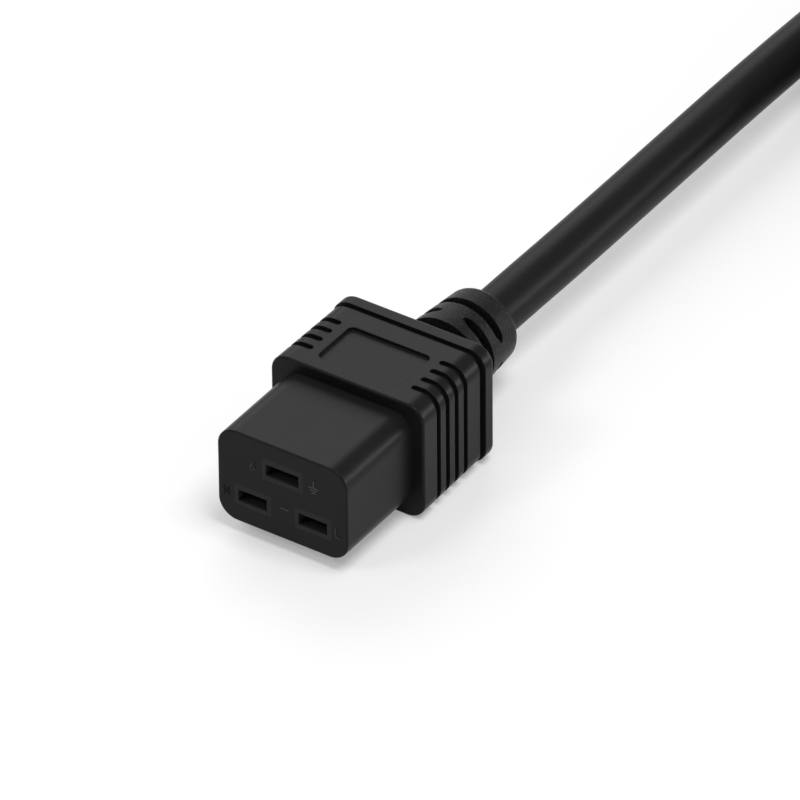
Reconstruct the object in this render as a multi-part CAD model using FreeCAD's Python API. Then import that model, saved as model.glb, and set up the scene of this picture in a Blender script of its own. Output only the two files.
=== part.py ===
import FreeCAD, Part

# A moulded C19 power connector on the end of its cord, as used on rack equipment and power strips.
#
# Frame: +Z up, the connector lies on the flat underside of its grip, its contact face looks along -Y
# and its cord leaves along +Y. The origin is under the middle of the connector, on the surface it
# lies on. All lengths are in millimetres.
#
# How it is built: three sprung contacts are crimped to the cores of the cord, pushed into a rigid
# carrier and shut in with a cap. Soft plastic is then moulded round the carrier, the cores and the
# end of the jacket in one shot, which makes the nose, the grip and the slotted bend relief one piece.
# The far end of the cord has a matching shrouded plug with three blades, made the same way.

import math
import os

from FreeCAD import Vector

# ---- connector: outside -------------------------------------------------------------------------
NOSE_WIDTH = 28.0
NOSE_HEIGHT = 19.8
NOSE_LENGTH = 20.8
NOSE_CORNER = 4.0
NOSE_EDGE = 0.35
GRIP_WIDTH = 33.1
GRIP_HEIGHT = 24.8
GRIP_LENGTH = 23.05
GRIP_CORNER = 3.7
GRIP_DRAW_IN = 0.8  # the sides draw in by this much in all, up to the flange at the rear
GRIP_FLANGE = 3.5  # length of the full-width flange behind the long groove
GRIP_FRONT_EDGE = 0.45
GRIP_REAR_EDGE = 0.9
NECK_LENGTH = 21.8
NECK_BASE_RADIUS = 9.4
NECK_END_RADIUS = 7.65
NECK_END_EDGE = 1.6
NECK_ROOT_FILLET = 1.0

CONNECTOR_LENGTH = NOSE_LENGTH + GRIP_LENGTH + NECK_LENGTH
FACE_Y = -CONNECTOR_LENGTH / 2
GRIP_FRONT_Y = FACE_Y + NOSE_LENGTH
GRIP_REAR_Y = GRIP_FRONT_Y + GRIP_LENGTH
NECK_END_Y = GRIP_REAR_Y + NECK_LENGTH
AXIS_Z = GRIP_HEIGHT / 2
CORD_DROP = 1.55  # the cord leaves this far below the middle of the face
CORD_Z = AXIS_Z - CORD_DROP

# ---- grip: finger grooves and label panel ---------------------------------------------------------
GROOVE_WIDTH = 1.3
GROOVE_DEPTH = 0.9
SHORT_GROOVES_FROM_FRONT = [5.0, 8.0, 11.0, 14.0]
LONG_GROOVE_FROM_FRONT = 19.5
SHORT_GROOVE_REACH = 10.7  # where a short groove ends, measured from the middle of the grip
PANEL_WIDTH = 17.7
PANEL_LENGTH = 11.3
PANEL_DEPTH = 0.65
PANEL_CORNER = 1.3
PANEL_FRONT_FROM_GRIP = 3.2

# ---- bend relief: three rows of crescent slots ------------------------------------------------------
SLOT_ROOT_RADIUS = 5.7
# (start and end behind the grip, first direction of the pair from the top, half of the slot's angle)
NECK_SLOT_ROWS = [
    (4.35, 7.8, 0, 75),
    (10.1, 12.25, 90, 74),
    (14.5, 16.45, 0, 75),
]

# ---- contacts, as the C19 pattern places them -----------------------------------------------------
ROW_OFFSET = 4.0  # earth sits this far above the middle of the face, line and neutral this far below
POLE_PITCH = 13.0
POLE_SLOT = (6.16, 2.53)
EARTH_SLOT = (7.08, 2.53)
SLOT_FRAME = 0.85  # width of the carrier's rim that shows round each slot, at its sides
TOWER_HEIGHT = 4.5

# ---- carrier --------------------------------------------------------------------------------------
SKIN = 1.4  # wall of soft plastic over the carrier's sides
FACE_SKIN = 1.2  # and over its front, between the three towers
CARRIER_LENGTH = 26.0
CARRIER_CORNER = 2.6
CAP_THICKNESS = 2.2
POCKET_FRONT = 2.6
POCKET_HEIGHT = 4.4
POCKET_SIDE_ROOM = 1.5  # a contact's pocket is this much wider than its slot

# ---- contacts and crimps --------------------------------------------------------------------------
SHEET = 0.5
FORK_FRONT = 3.0
FORK_PINCH = 6.2
FORK_REAR = 15.5
FORK_MOUTH_GAP = 1.3
FORK_PINCH_GAP = 0.9
FORK_REAR_GAP = 1.4
FORK_SLIT = 0.8
FORK_SLIT_END = 12.0
BARREL_FRONT = 18.2
BARREL_LENGTH = 3.6
BARREL_RADIUS = 1.6
GRIPPER_GAP = 0.4
GRIPPER_LENGTH = 2.6
GRIPPER_RADIUS = 2.1

# ---- cord -----------------------------------------------------------------------------------------
CORD_DIAMETER = 9.8
CORD_RADIUS = CORD_DIAMETER / 2
CORE_RADIUS = 1.7
CONDUCTOR_RADIUS = 0.925
CORE_SPACING = 2 * CORE_RADIUS + 0.15  # the cores lie close together, in a triangle
CORE_RING = CORE_SPACING / math.sqrt(3)
CORE_STRAIGHT = 4.2  # a core stays straight this far behind the front of its insulation
STRIPPED_TO = 40.0  # the jacket starts this far behind the contact face

# ---- coil of the spare cord, and its straps ---------------------------------------------------------
STRAP_THICKNESS = 1.0
STRAP_WIDTH = 12.0
COIL_MIDDLE_RADIUS = 5 * CORD_DIAMETER
COIL_STRANDS = 3  # side by side in each layer
COIL_LAYERS = 2
COIL_OUTER_RADIUS = COIL_MIDDLE_RADIUS + COIL_STRANDS * CORD_RADIUS
COIL_INNER_RADIUS = COIL_MIDDLE_RADIUS - COIL_STRANDS * CORD_RADIUS
COIL_LAST_STRAND = COIL_OUTER_RADIUS - CORD_RADIUS
COIL_HEIGHT = COIL_LAYERS * CORD_DIAMETER
COIL_X = COIL_LAST_STRAND - 1.0
COIL_Y = 179.0
COIL_Z = STRAP_THICKNESS
COIL_EDGE = 2.0

# ---- plug -----------------------------------------------------------------------------------------
PLUG_WIDTH = 34.8
PLUG_HEIGHT = 27.0
PLUG_BODY_LENGTH = 44.0
PLUG_CORNER = 5.0
PLUG_EDGE = 0.9
PLUG_X = 97.0
PLUG_MOUTH_Y = 40.0
PLUG_AXIS_Z = PLUG_HEIGHT / 2
RECESS_WIDTH = 28.8
RECESS_HEIGHT = 20.6
RECESS_DEPTH = 17.5
RECESS_CORNER = 4.3
PLUG_GROOVES_FROM_FRONT = [25.0, 28.0, 31.0, 34.0, 39.2]
BLADE_THICKNESS = 2.0
POLE_BLADE_WIDTH = 6.0
EARTH_BLADE_WIDTH = 6.9
POLE_BLADE_TIP = 3.4  # the blades stay behind the mouth, and earth reaches furthest
EARTH_BLADE_TIP = 1.6
BLADE_CHAMFER = 0.5
INSERT_WIDTH = 25.2
INSERT_HEIGHT = 17.0
INSERT_LENGTH = 6.0
PLUG_BARREL_FRONT = RECESS_DEPTH + INSERT_LENGTH + 1.6
PLUG_STRIPPED_TO = 43.0

ALONG = Vector(0, 1, 0)
UP = Vector(0, 0, 1)
POLES = {
    "neutral": (-POLE_PITCH / 2, -ROW_OFFSET, POLE_SLOT),
    "line": (POLE_PITCH / 2, -ROW_OFFSET, POLE_SLOT),
    "earth": (0.0, ROW_OFFSET, EARTH_SLOT),
}


# ---- small tools ----------------------------------------------------------------------------------
def rounded_outline(width, height, corner, x, y, z):
    """Closed outline of a rectangle with round corners, centred on x and z, in the plane at y."""
    right, top, bevel = width / 2, height / 2, corner * (1 - math.sqrt(0.5))
    edges = []
    # each side runs to the corner after it: right, top, left, bottom
    for side_x, side_z in ((1, 1), (-1, 1), (-1, -1), (1, -1)):
        tall = side_x == side_z
        a = Vector(side_x * right, 0, side_z * (top - corner))
        b = Vector(side_x * (right - corner), 0, side_z * top)
        middle = Vector(side_x * (right - bevel), 0, side_z * (top - bevel))
        first, last = (a, b) if tall else (b, a)
        edges.append((first, middle, last))
    wire = []
    for number, (first, middle, last) in enumerate(edges):
        following = edges[(number + 1) % 4][0]
        wire.append(Part.Arc(first, middle, last).toShape())
        wire.append(Part.LineSegment(last, following).toShape())
    outline = Part.Wire(wire)
    outline.translate(Vector(x, y, z))
    return outline


def rounded_bar(width, height, corner, x, z, y_from, y_to):
    """Straight bar along Y with a rounded rectangular section."""
    outline = rounded_outline(width, height, corner, x, y_from, z)
    return Part.Face(outline).extrude(ALONG * (y_to - y_from))


def block(width, height, x, z, y_from, y_to):
    """Plain rectangular block along Y, centred on x and z."""
    return Part.makeBox(width, y_to - y_from, height, Vector(x - width / 2, y_from, z - height / 2))


def rod(radius, x, z, y_from, y_to):
    return Part.makeCylinder(radius, y_to - y_from, Vector(x, y_from, z), ALONG)


def edges_at(shape, y):
    """Edges of a shape that lie wholly in the plane at y."""
    tolerance = 1e-4
    return [
        edge
        for edge in shape.Edges
        if abs(edge.BoundBox.YMin - y) < tolerance and abs(edge.BoundBox.YMax - y) < tolerance
    ]


def united(shapes):
    whole = shapes[0].fuse(shapes[1:]) if len(shapes) > 1 else shapes[0]
    return whole.removeSplitter()


def smooth_path(points, share=0.45):
    """Straight runs joined by tangent arcs, each arc as large as its two runs allow."""
    points = [Vector(*p) for p in points]
    pieces, radii = [], []
    start = points[0]
    for before, corner, after in zip(points, points[1:], points[2:]):
        inward, outward = corner - before, after - corner
        half_turn = inward.getAngle(outward) / 2
        reach = share * min(inward.Length, outward.Length)
        radii.append(reach / math.tan(half_turn))
        inward.normalize()
        outward.normalize()
        arc_start, arc_end = corner - inward * reach, corner + outward * reach
        towards_centre = outward - inward
        towards_centre.normalize()
        sagitta = radii[-1] * (1 / math.cos(half_turn) - 1)
        middle = corner + towards_centre * sagitta
        pieces.append(Part.LineSegment(start, arc_start).toShape())
        pieces.append(Part.Arc(arc_start, middle, arc_end).toShape())
        start = arc_end
    pieces.append(Part.LineSegment(start, points[-1]).toShape())
    return Part.Wire(pieces), radii


def swept_rod(path, radius):
    """Round rod that follows a smooth path."""
    first = path.OrderedEdges[0]
    direction = first.tangentAt(first.FirstParameter)
    start = path.OrderedVertexes[0].Point
    ring = Part.Wire(Part.Circle(start, direction, radius).toShape())
    return path.makePipeShell([ring], True, False)


# ---- outer forms shared by the connector and the plug -----------------------------------------------
def neck_radius(behind_grip):
    share = behind_grip / NECK_LENGTH
    return NECK_BASE_RADIUS + (NECK_END_RADIUS - NECK_BASE_RADIUS) * share


def bend_relief(x, z, root_y):
    """Tapered neck with a rounded end and a flared root, before its slots are cut."""
    end = NECK_LENGTH
    shoulder = neck_radius(end - NECK_END_EDGE)
    tip = neck_radius(end) - NECK_END_EDGE
    inset = NECK_END_EDGE * (1 - math.sqrt(0.5))
    flare = NECK_ROOT_FILLET * (1 - math.sqrt(0.5))
    root = neck_radius(NECK_ROOT_FILLET)
    inside = -1.0  # the neck starts a little inside the grip, so that the two fuse
    outline = [
        Part.LineSegment(Vector(0, inside, 0), Vector(root + NECK_ROOT_FILLET, inside, 0)),
        Part.LineSegment(
            Vector(root + NECK_ROOT_FILLET, inside, 0), Vector(root + NECK_ROOT_FILLET, 0, 0)
        ),
        Part.Arc(
            Vector(root + NECK_ROOT_FILLET, 0, 0),
            Vector(root + flare, flare, 0),
            Vector(root, NECK_ROOT_FILLET, 0),
        ),
        Part.LineSegment(
            Vector(root, NECK_ROOT_FILLET, 0), Vector(shoulder, end - NECK_END_EDGE, 0)
        ),
        Part.Arc(
            Vector(shoulder, end - NECK_END_EDGE, 0),
            Vector(shoulder - inset, end - inset, 0),
            Vector(tip, end, 0),
        ),
        Part.LineSegment(Vector(tip, end, 0), Vector(0, end, 0)),
        Part.LineSegment(Vector(0, end, 0), Vector(0, inside, 0)),
    ]
    profile = Part.Face(Part.Wire([piece.toShape() for piece in outline]))
    neck = profile.revolve(Vector(0, 0, 0), ALONG, 360)
    neck.translate(Vector(x, root_y, z))
    return neck


def crescent_slots(x, z, root_y):
    """Cutters for the slots, which go down to a round core and run out at both ends."""
    cutters = []
    for start, end, first_direction, half_angle in NECK_SLOT_ROWS:
        outer = neck_radius((start + end) / 2)
        across = outer * math.sin(math.radians(half_angle))
        level = outer * math.cos(math.radians(half_angle))
        for direction in (first_direction, first_direction + 180):
            # seen from outside the slot is a strip with round ends
            end_radius = min(end - start, 2.2) / 2
            reach = across - end_radius
            height = outer + 2.0 - level
            strip = Part.makeBox(2 * reach, end - start, height, Vector(-reach, start, level))
            for side in (-1, 1):
                for rim in (start + end_radius, end - end_radius):
                    corner = Vector(side * reach, rim, level)
                    strip = strip.fuse(Part.makeCylinder(end_radius, height, corner, UP))
            core = Part.makeCylinder(SLOT_ROOT_RADIUS, end - start, Vector(0, start, 0), ALONG)
            cutter = strip.cut(core)
            cutter.rotate(Vector(0, 0, 0), ALONG, direction)
            cutter.translate(Vector(x, root_y, z))
            cutters.append(cutter)
    return cutters


def groove_ring(width, height, corner, x, z, y_mid):
    """Cutter for a groove that runs all round a body of that section."""
    start, end = y_mid - GROOVE_WIDTH / 2, y_mid + GROOVE_WIDTH / 2
    spare = 2.0
    outside = rounded_bar(width + spare, height + spare, corner + spare / 2, x, z, start, end)
    floor = rounded_bar(
        width - 2 * GROOVE_DEPTH, height - 2 * GROOVE_DEPTH, corner - GROOVE_DEPTH, x, z, start, end
    )
    return outside.cut(floor)


def short_groove_pair(ring, x, z, y_mid, height):
    """The left and right parts of a groove ring, with round ends on the top and underside."""
    radius = GROOVE_WIDTH / 2
    end = SHORT_GROOVE_REACH + radius
    keepers = []
    for side in (-1, 1):
        far = 30.0
        keepers.append(block(far, 2 * height, x + side * (end + far / 2), z, y_mid - 2, y_mid + 2))
        keepers.append(
            Part.makeCylinder(radius, 2 * height, Vector(x + side * end, y_mid, z - height), UP)
        )
    return ring.common(keepers[0].fuse(keepers[1:]))


# ---- conductors and cores ---------------------------------------------------------------------------
def core_place(name, mirrored):
    """Where a core lies in the cord's section, as offsets in x and z."""
    turn = {"earth": 90, "neutral": 210, "line": 330}[name]
    side = -1 if mirrored else 1
    return (
        side * CORE_RING * math.cos(math.radians(turn)),
        CORE_RING * math.sin(math.radians(turn)),
    )


def core_and_conductor(name, x, z, cord_z, face_y, barrel_front, stripped_to, mirrored=False):
    """The coloured insulation and the copper of one core, from its contact to the jacket's end."""
    side = -1 if mirrored else 1
    pole_x, pole_z, _ = POLES[name]
    end_x, end_z = core_place(name, mirrored)
    bend_room = 1.6  # straight stretch before and after the bend
    front = barrel_front + BARREL_LENGTH + GRIPPER_GAP
    conductor_front = barrel_front + 0.5
    straight_to = front + CORE_STRAIGHT
    start = (x + side * pole_x, z + pole_z)
    finish = (x + end_x, cord_z + end_z)

    def route(first):
        points = [
            (start[0], face_y + first, start[1]),
            (start[0], face_y + straight_to, start[1]),
            (finish[0], face_y + stripped_to - bend_room, finish[1]),
            (finish[0], face_y + stripped_to, finish[1]),
        ]
        return smooth_path(points, 0.48)[0]

    copper = swept_rod(route(conductor_front), CONDUCTOR_RADIUS)
    insulation = swept_rod(route(front), CORE_RADIUS).cut(copper)
    return insulation, copper


def crimp(x, z, face_y, barrel_front, tab_from):
    """Rear of a contact: a tab, the barrel that grips the copper and the one that grips the core."""
    barrel_end = barrel_front + BARREL_LENGTH
    gripper_front = barrel_end + GRIPPER_GAP
    gripper_end = gripper_front + GRIPPER_LENGTH
    tab = block(2.4, SHEET, x, z, face_y + tab_from, face_y + barrel_front + 0.6)
    barrel = rod(BARREL_RADIUS, x, z, face_y + barrel_front, face_y + barrel_end)
    gripper = rod(GRIPPER_RADIUS, x, z, face_y + gripper_front, face_y + gripper_end)
    saddle = block(
        2.0, 0.6, x, z - 1.55, face_y + barrel_end - 1.0, face_y + gripper_front + 1.0
    )
    whole = united([tab, barrel, gripper, saddle])
    copper_bore = rod(CONDUCTOR_RADIUS, x, z, face_y + barrel_front, face_y + gripper_end)
    core_bore = rod(CORE_RADIUS, x, z, face_y + gripper_front, face_y + gripper_end)
    saddle_clear = rod(CORE_RADIUS, x, z, face_y + barrel_end, face_y + gripper_front)
    return whole.cut([copper_bore, core_bore, saddle_clear])


# ---- connector pieces -----------------------------------------------------------------------------
def female_contact(name):
    """Sprung fork of folded brass strip that pinches a blade between two slit leaves."""
    x, z, slot = POLES[name]
    z += AXIS_Z
    width = slot[0] + 0.6
    inner = [
        (FORK_FRONT, FORK_MOUTH_GAP),
        (FORK_PINCH, FORK_PINCH_GAP),
        (FORK_REAR - SHEET, FORK_REAR_GAP),
    ]
    outer = [(y, gap + SHEET) for y, gap in inner]
    outer[-1] = (FORK_REAR, FORK_REAR_GAP + SHEET)
    upper = outer + [(y, -gap) for y, gap in reversed(outer)]
    lower = [(y, -gap) for y, gap in inner] + list(reversed(inner))
    corners = [Vector(x - width / 2, FACE_Y + y, z + gap) for y, gap in upper + lower]
    fork = Part.Face(Part.makePolygon(corners + corners[:1])).extrude(Vector(width, 0, 0))
    slit = block(
        FORK_SLIT, 3 * FORK_REAR_GAP, x, z, FACE_Y + FORK_FRONT - 1, FACE_Y + FORK_SLIT_END
    )
    fork = fork.cut(slit)
    return united([fork, crimp(x, z, FACE_Y, BARREL_FRONT, FORK_REAR - 0.2)])


def contact_carrier():
    """Rigid block with a pocket for each contact, and three towers that show at the face."""
    front = FACE_Y + FACE_SKIN
    rear = FACE_Y + CARRIER_LENGTH
    pieces = [
        rounded_bar(
            NOSE_WIDTH - 2 * SKIN, NOSE_HEIGHT - 2 * SKIN, CARRIER_CORNER, 0, AXIS_Z, front, rear
        )
    ]
    for x, z, slot in POLES.values():
        tower_width = slot[0] + 2 * SLOT_FRAME
        pieces.append(
            rounded_bar(tower_width, TOWER_HEIGHT, 0.4, x, z + AXIS_Z, FACE_Y, front + 0.5)
        )
    holes = []
    for x, z, slot in POLES.values():
        holes.append(block(slot[0], slot[1], x, z + AXIS_Z, FACE_Y - 1, FACE_Y + POCKET_FRONT + 1))
        holes.append(
            block(
                slot[0] + POCKET_SIDE_ROOM, POCKET_HEIGHT, x, z + AXIS_Z, FACE_Y + POCKET_FRONT, rear
            )
        )
    return united(pieces).cut(holes)


def carrier_cap():
    """Plate that shuts the pockets, with a hole for each core."""
    front = FACE_Y + CARRIER_LENGTH
    plate = rounded_bar(
        NOSE_WIDTH - 2 * SKIN,
        NOSE_HEIGHT - 2 * SKIN,
        CARRIER_CORNER,
        0,
        AXIS_Z,
        front,
        front + CAP_THICKNESS,
    )
    holes = [
        rod(CORE_RADIUS, x, z + AXIS_Z, front - 1, front + CAP_THICKNESS + 1)
        for x, z, _ in POLES.values()
    ]
    return plate.cut(holes)


def nose():
    bar = rounded_bar(
        NOSE_WIDTH, NOSE_HEIGHT, NOSE_CORNER, 0, AXIS_Z, FACE_Y, GRIP_FRONT_Y + 2.0
    )
    return bar.makeFillet(NOSE_EDGE, edges_at(bar, FACE_Y))


def grip():
    """Block that the fingers hold: its sides draw in a little, up to a full-width rear flange."""
    flange_y = GRIP_REAR_Y - GRIP_FLANGE
    wide, narrow = GRIP_WIDTH / 2, (GRIP_WIDTH - GRIP_DRAW_IN) / 2
    plan = [(-wide, GRIP_FRONT_Y), (wide, GRIP_FRONT_Y), (narrow, flange_y), (-narrow, flange_y)]
    corners = [Vector(x, y, 0) for x, y in plan]
    body = Part.Face(Part.makePolygon(corners + corners[:1])).extrude(UP * GRIP_HEIGHT)
    long_edges = [edge for edge in body.Edges if edge.BoundBox.YLength > 1 and edge.Length < 25]
    body = body.makeFillet(GRIP_CORNER, long_edges)
    body = body.makeFillet(GRIP_FRONT_EDGE, edges_at(body, GRIP_FRONT_Y))
    flange = rounded_bar(
        GRIP_WIDTH, GRIP_HEIGHT, GRIP_CORNER, 0, AXIS_Z, flange_y, GRIP_REAR_Y
    )
    flange = flange.makeFillet(GRIP_REAR_EDGE, edges_at(flange, GRIP_REAR_Y))
    return body.fuse(flange)


def grip_grooves():
    cutters = []
    for from_front in SHORT_GROOVES_FROM_FRONT + [LONG_GROOVE_FROM_FRONT]:
        share = from_front / (GRIP_LENGTH - GRIP_FLANGE)
        width = GRIP_WIDTH - GRIP_DRAW_IN * share
        y = GRIP_FRONT_Y + from_front
        ring = groove_ring(width, GRIP_HEIGHT, GRIP_CORNER, 0, AXIS_Z, y)
        if from_front != LONG_GROOVE_FROM_FRONT:
            ring = short_groove_pair(ring, 0, AXIS_Z, y, GRIP_HEIGHT)
        cutters.append(ring)
    return cutters


def label_panel():
    """Cutter for the shallow sunk panel in the top of the grip."""
    y = GRIP_FRONT_Y + PANEL_FRONT_FROM_GRIP + PANEL_LENGTH / 2
    outline = rounded_outline(PANEL_WIDTH, PANEL_LENGTH, PANEL_CORNER, 0, 0, 0)
    cutter = Part.Face(outline).extrude(ALONG * (PANEL_DEPTH + 2.0))
    cutter.rotate(Vector(0, 0, 0), Vector(1, 0, 0), 90)
    cutter.translate(Vector(0, y, GRIP_HEIGHT - PANEL_DEPTH))
    return cutter


def connector_overmould(inner_pieces):
    """Nose, grip and bend relief in one, moulded round everything inside."""
    body = united([nose(), grip(), bend_relief(0, CORD_Z, GRIP_REAR_Y)])
    body = body.cut(crescent_slots(0, CORD_Z, GRIP_REAR_Y))
    body = body.cut(grip_grooves() + [label_panel()])
    pocket = rounded_bar(
        NOSE_WIDTH - 2 * SKIN,
        NOSE_HEIGHT - 2 * SKIN,
        CARRIER_CORNER,
        0,
        AXIS_Z,
        FACE_Y + FACE_SKIN,
        FACE_Y + CARRIER_LENGTH + CAP_THICKNESS,
    )
    windows = [
        rounded_bar(
            slot[0] + 2 * SLOT_FRAME, TOWER_HEIGHT, 0.4, x, z + AXIS_Z, FACE_Y - 1, FACE_Y + 2
        )
        for x, z, slot in POLES.values()
    ]
    return body.cut([pocket] + windows + inner_pieces)


# ---- plug pieces ------------------------------------------------------------------------------------
def plug_blade(name):
    """Flat blade with a chamfered tip, held in the insert and crimped to its core."""
    pole_x, z, slot = POLES[name]
    x = PLUG_X - pole_x
    z += PLUG_AXIS_Z
    earth = name == "earth"
    width = EARTH_BLADE_WIDTH if earth else POLE_BLADE_WIDTH
    tip = PLUG_MOUTH_Y + (EARTH_BLADE_TIP if earth else POLE_BLADE_TIP)
    blade_end = PLUG_MOUTH_Y + PLUG_BARREL_FRONT - 0.4
    blade = block(width, BLADE_THICKNESS, x, z, tip, blade_end)
    blade = blade.makeChamfer(BLADE_CHAMFER, edges_at(blade, tip))
    rear = crimp(x, z, PLUG_MOUTH_Y, PLUG_BARREL_FRONT, PLUG_BARREL_FRONT - 0.9)
    return united([blade, rear])


def plug_insert():
    """Rigid block that holds the three blades at the bottom of the plug's recess."""
    front = PLUG_MOUTH_Y + RECESS_DEPTH
    body = rounded_bar(
        INSERT_WIDTH, INSERT_HEIGHT, CARRIER_CORNER, PLUG_X, PLUG_AXIS_Z, front, front + INSERT_LENGTH
    )
    holes = [
        block(
            EARTH_BLADE_WIDTH if name == "earth" else POLE_BLADE_WIDTH,
            BLADE_THICKNESS,
            PLUG_X - x,
            z + PLUG_AXIS_Z,
            front - 1,
            front + INSERT_LENGTH + 1,
        )
        for name, (x, z, _) in POLES.items()
    ]
    return body.cut(holes)


def plug_overmould(inner_pieces):
    """Shroud, grip and bend relief of the plug, in one."""
    rear_y = PLUG_MOUTH_Y + PLUG_BODY_LENGTH
    body = rounded_bar(
        PLUG_WIDTH, PLUG_HEIGHT, PLUG_CORNER, PLUG_X, PLUG_AXIS_Z, PLUG_MOUTH_Y, rear_y
    )
    body = body.makeFillet(PLUG_EDGE, edges_at(body, PLUG_MOUTH_Y) + edges_at(body, rear_y))
    body = united([body, bend_relief(PLUG_X, PLUG_AXIS_Z, rear_y)])
    body = body.cut(crescent_slots(PLUG_X, PLUG_AXIS_Z, rear_y))
    grooves = []
    for from_front in PLUG_GROOVES_FROM_FRONT:
        y = PLUG_MOUTH_Y + from_front
        ring = groove_ring(PLUG_WIDTH, PLUG_HEIGHT, PLUG_CORNER, PLUG_X, PLUG_AXIS_Z, y)
        if from_front != PLUG_GROOVES_FROM_FRONT[-1]:
            ring = short_groove_pair(ring, PLUG_X, PLUG_AXIS_Z, y, PLUG_HEIGHT)
        grooves.append(ring)
    recess = rounded_bar(
        RECESS_WIDTH,
        RECESS_HEIGHT,
        RECESS_CORNER,
        PLUG_X,
        PLUG_AXIS_Z,
        PLUG_MOUTH_Y - 1,
        PLUG_MOUTH_Y + RECESS_DEPTH,
    )
    return body.cut(grooves + [recess]).cut(inner_pieces)


# ---- cord ---------------------------------------------------------------------------------------------
LEAD_POINTS = [
    (0.0, FACE_Y + STRIPPED_TO, CORD_Z),
    (0.0, NECK_END_Y + 30.0, CORD_Z),
    (-0.2, NECK_END_Y + 108.0, CORD_Z - 0.4),
    (COIL_X - COIL_LAST_STRAND + 0.3, COIL_Y + 10.0, COIL_Z + CORD_RADIUS + 0.3),
]
TAIL_TURN = math.radians(-24)  # where the tail leaves the coil, as an angle round it
TAIL_START = Vector(
    COIL_X + COIL_LAST_STRAND * math.cos(TAIL_TURN),
    COIL_Y + COIL_LAST_STRAND * math.sin(TAIL_TURN),
    COIL_Z + COIL_HEIGHT - CORD_RADIUS - 0.3,
)
TAIL_POINTS = [
    (TAIL_START.x + 1.6, TAIL_START.y + 10.0, TAIL_START.z),
    (TAIL_START.x - 5.4, TAIL_START.y - 15.0, TAIL_START.z - 0.3),
    (PLUG_X, PLUG_MOUTH_Y + PLUG_BODY_LENGTH + NECK_LENGTH - 3.0, PLUG_AXIS_Z),
    (PLUG_X, PLUG_MOUTH_Y + PLUG_STRIPPED_TO, PLUG_AXIS_Z),
]


def coil():
    """Outer form of the wound spare cord: a ring three strands wide and two high."""
    ring = Part.makeCylinder(COIL_OUTER_RADIUS, COIL_HEIGHT).cut(
        Part.makeCylinder(COIL_INNER_RADIUS, COIL_HEIGHT)
    )
    ring = ring.makeChamfer(COIL_EDGE, [edge for edge in ring.Edges if edge.Length > 100])
    ring.translate(Vector(COIL_X, COIL_Y, COIL_Z))
    return ring


def strap(turn):
    """Fabric strap closed round the strands of the coil, at an angle round it."""
    strands = COIL_OUTER_RADIUS - COIL_INNER_RADIUS
    outer_width = strands + 2 * STRAP_THICKNESS
    outer_height = COIL_HEIGHT + 2 * STRAP_THICKNESS
    corner = COIL_EDGE + STRAP_THICKNESS
    start, end = -STRAP_WIDTH / 2, STRAP_WIDTH / 2
    band = rounded_bar(outer_width, outer_height, corner, 0, outer_height / 2, start, end)
    inside = rounded_bar(
        strands + 0.5, COIL_HEIGHT, COIL_EDGE, 0, outer_height / 2, start - 1, end + 1
    )
    band = band.cut(inside)
    band.translate(Vector(COIL_MIDDLE_RADIUS, 0, 0))
    band.rotate(Vector(0, 0, 0), UP, turn)
    band.translate(Vector(COIL_X, COIL_Y, COIL_Z - STRAP_THICKNESS))
    return band


def cord_stretch(points, name, ring):
    """A free stretch of the jacket, between the coil and the bared cores."""
    path, radii = smooth_path(points)
    print(name, "length", round(path.Length, 1), "radii", [round(radius, 1) for radius in radii])
    tube = swept_rod(path, CORD_RADIUS)
    expected = math.pi * CORD_RADIUS**2 * path.Length
    print(name, "volume over section times length", round(tube.Volume / expected, 4))
    return max(tube.cut(ring).Solids, key=lambda solid: solid.Volume)


def connector_parts(ring):
    """Every piece of the connector, and the stretch of cord that runs from it to the coil."""
    parts, cores = {}, []
    for name in POLES:
        pair = core_and_conductor(name, 0, AXIS_Z, CORD_Z, FACE_Y, BARREL_FRONT, STRIPPED_TO)
        parts[name + "_contact"] = female_contact(name).cut(list(pair))
        parts[name + "_core"], parts[name + "_conductor"] = pair
        cores += pair
    lead = cord_stretch(LEAD_POINTS, "cord_lead", ring)
    parts["contact_carrier"] = contact_carrier()
    parts["carrier_cap"] = carrier_cap().cut(cores)
    parts["connector_overmould"] = connector_overmould(cores + [lead])
    parts["cord_lead"] = lead
    return parts


def plug_parts(ring):
    """Every piece of the plug, and the stretch of cord that runs from the coil to it."""
    parts, cores = {}, []
    for name in POLES:
        pair = core_and_conductor(
            name,
            PLUG_X,
            PLUG_AXIS_Z,
            PLUG_AXIS_Z,
            PLUG_MOUTH_Y,
            PLUG_BARREL_FRONT,
            PLUG_STRIPPED_TO,
            mirrored=True,
        )
        parts["plug_" + name + "_blade"] = plug_blade(name).cut(list(pair))
        parts["plug_" + name + "_core"], parts["plug_" + name + "_conductor"] = pair
        cores += pair
    parts["plug_insert"] = plug_insert()
    tail = cord_stretch(TAIL_POINTS, "cord_tail", ring)
    parts["plug_overmould"] = plug_overmould(list(parts.values()) + [tail])
    parts["cord_tail"] = tail
    return parts


def main():
    ring = coil()
    parts = {
        "cord_coil": ring,
        "coil_strap_front": strap(-100).cut(ring),
        "coil_strap_rear": strap(75).cut(ring),
    }
    parts.update(connector_parts(ring))
    parts.update(plug_parts(ring))
    os.makedirs("parts", exist_ok=True)
    for name, shape in parts.items():
        print(name, "solids", len(shape.Solids), "valid", shape.isValid(), "mm3", round(shape.Volume, 1))
        shape.exportStep("parts/" + name + ".step")


main()
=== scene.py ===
# %% [markdown]
# A moulded power connector, its cord and its plug
#
# The object is a black C19 connector, as found on rack equipment. One soft moulding makes its nose,
# its grip and its slotted bend relief. A rigid carrier inside it shows at the face, as a frame
# round each of the three openings. The construction model already holds every rigid piece at its
# real size, so this lesson is about finishes, small raised marks, the cord and its coil, the woven
# straps that tie the coil, and a quiet studio.

import math

import bmesh
import bpy
from mathutils import Matrix, Vector


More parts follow.
